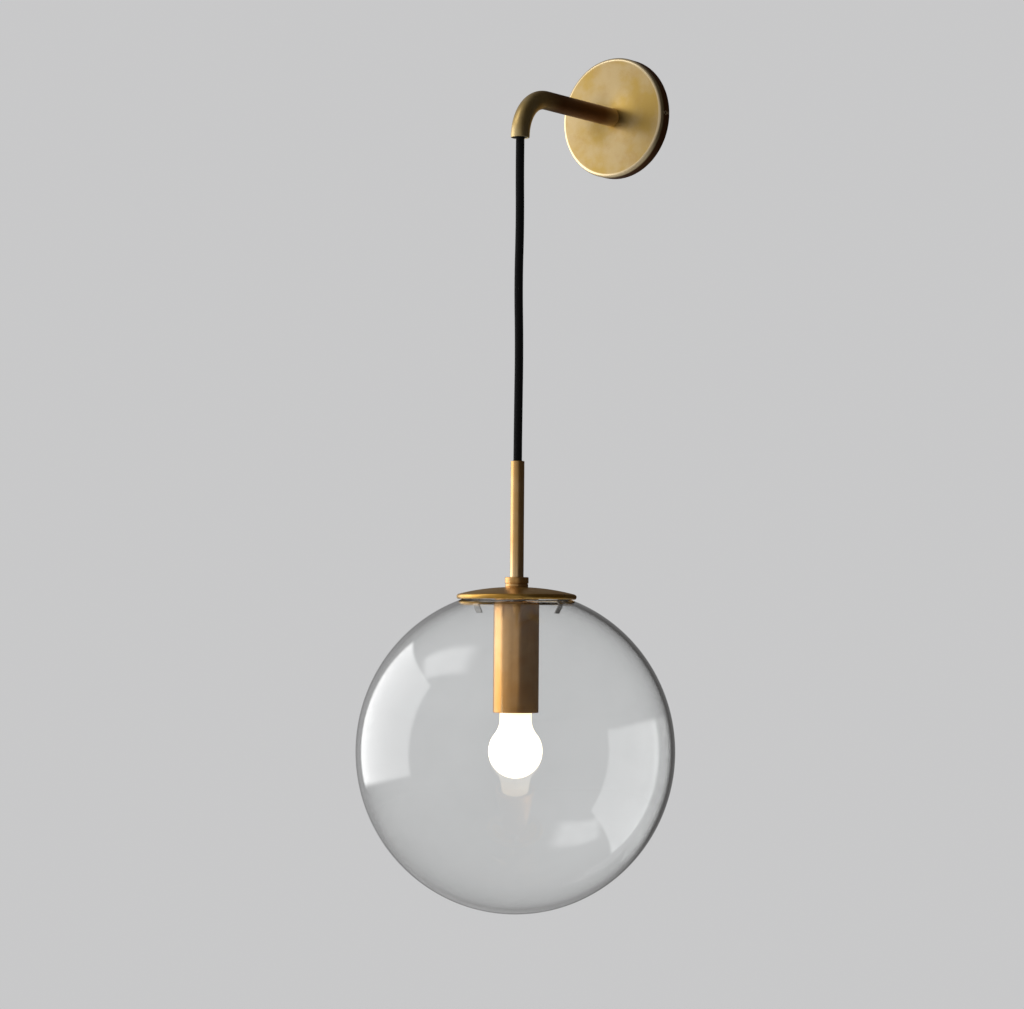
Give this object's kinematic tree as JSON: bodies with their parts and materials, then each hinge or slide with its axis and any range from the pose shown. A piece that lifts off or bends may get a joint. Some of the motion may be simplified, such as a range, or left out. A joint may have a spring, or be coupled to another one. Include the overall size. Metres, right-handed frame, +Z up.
{
  "type": "globe wall sconce",
  "caption": "Brass wall light: round backplate, bent arm and a clear glass globe on a fabric cord under a domed cap. The globe lowers and the bulb unscrews.",
  "frame": {"origin": "middle of the wall bracket's screw pattern, on the wall", "axes": "+Y into the wall, +Z up, +X to the right seen from the room"},
  "size_m": [0.252, 0.265, 0.6999],
  "materials": {
    "backplate_brass": "brushed antique brass with a polished rim",
    "arm_brass": "dark antique brass, satin",
    "pendant_brass": "antique brass, satin",
    "plain_brass": "plain machined brass",
    "zinc_steel": "zinc plated steel",
    "bracket_steel": "pressed zinc plated steel sheet",
    "spring_steel": "bright spring steel",
    "cord_sleeve": "woven black fabric sleeve",
    "brown_wire": "brown insulation",
    "blue_wire": "blue insulation",
    "dark_nylon": "dark moulded nylon",
    "connector_body": "pale grey moulded plastic",
    "holder_body": "black moulded thermoset",
    "clear_glass": "clear blown glass",
    "gasket_rubber": "pale silicone rubber",
    "opal_glass": "white opal glass, lit warm white",
    "bulb_nickel": "nickel plated screw shell",
    "bulb_insulator": "black vitrified insulator",
    "bulb_inner_glass": "clear glass post",
    "light_rod": "yellow phosphor coating"
  },
  "bodies": {
    "wall_fixture": {"wall_bracket": "bracket_steel", "earth_screw": "plain_brass", "earth_washer": "plain_brass", "canopy": "backplate_brass", "canopy_screws": "backplate_brass", "arm_tube": "arm_brass", "arm_plug": "plain_brass", "arm_rod": "zinc_steel", "arm_tooth_washer": "zinc_steel", "arm_nut": "zinc_steel", "arm_cord_collar": "dark_nylon", "mouth_bush": "dark_nylon", "cord_in_arm": "cord_sleeve", "live_wire": "brown_wire", "neutral_wire": "blue_wire", "wire_connectors": "connector_body"},
    "flex_top": {"cord_flex_top": "cord_sleeve"},
    "cord": {"pendant_cord": "cord_sleeve"},
    "flex_bottom": {"cord_flex_bottom": "cord_sleeve"},
    "pendant": {"stem_bush": "dark_nylon", "stem_cord_collar": "dark_nylon", "stem_tube": "pendant_brass", "cord_in_stem": "cord_sleeve", "stem_collar": "pendant_brass", "collar_screw": "pendant_brass", "cap": "pendant_brass", "main_rod": "zinc_steel", "cap_spacer": "zinc_steel", "globe_spring": "spring_steel", "cap_tooth_washer": "zinc_steel", "cap_nut": "zinc_steel", "socket_cup": "pendant_brass", "cup_nut": "zinc_steel", "holder_cap": "holder_body", "holder_body": "holder_body", "holder_shell": "plain_brass", "centre_contact": "plain_brass", "side_contact": "plain_brass", "holder_live_wire": "brown_wire", "holder_neutral_wire": "blue_wire"},
    "globe": {"globe_glass": "clear_glass", "globe_gasket": "gasket_rubber"},
    "bulb_carrier": {"bulb_tip": "plain_brass"},
    "bulb": {"bulb_glass": "opal_glass", "bulb_shell": "bulb_nickel", "bulb_insulator": "bulb_insulator", "bulb_post": "bulb_inner_glass", "light_rods": "light_rod"}
  },
  "joints": [
    {"name": "cord_side_swing", "type": "hinge", "parent": "wall_fixture", "child": "flex_top", "pos_m": [0, -0.139, -0.0356], "axis": [0, 1, 0], "range_deg": [-20, 20]},
    {"name": "cord_out_swing", "type": "hinge", "parent": "flex_top", "child": "cord", "pos_m": [0, -0.139, -0.0356], "axis": [1, 0, 0], "range_deg": [-20, 1]},
    {"name": "stem_side_tilt", "type": "hinge", "parent": "cord", "child": "flex_bottom", "pos_m": [0, -0.139, -0.2924], "axis": [0, 1, 0], "range_deg": [-15, 15]},
    {"name": "stem_out_tilt", "type": "hinge", "parent": "flex_bottom", "child": "pendant", "pos_m": [0, -0.139, -0.2924], "axis": [1, 0, 0], "range_deg": [-15, 1]},
    {"name": "globe_lower", "type": "slide", "parent": "pendant", "child": "globe", "axis": [0, 0, -1], "range_m": [0, 0.15]},
    {"name": "bulb_travel", "type": "slide", "parent": "pendant", "child": "bulb_carrier", "axis": [0, 0, -1], "range_m": [0, 0.0253]},
    {"name": "bulb_turn", "type": "hinge", "parent": "bulb_carrier", "child": "bulb", "pos_m": [0, -0.139, -0.48], "axis": [0, 0, -1], "range_deg": [0, 2520]}
  ],
  "couplings": [
    {"joint": "bulb_turn", "follows": "bulb_travel", "rad_per_m": 1735.7}
  ]
}
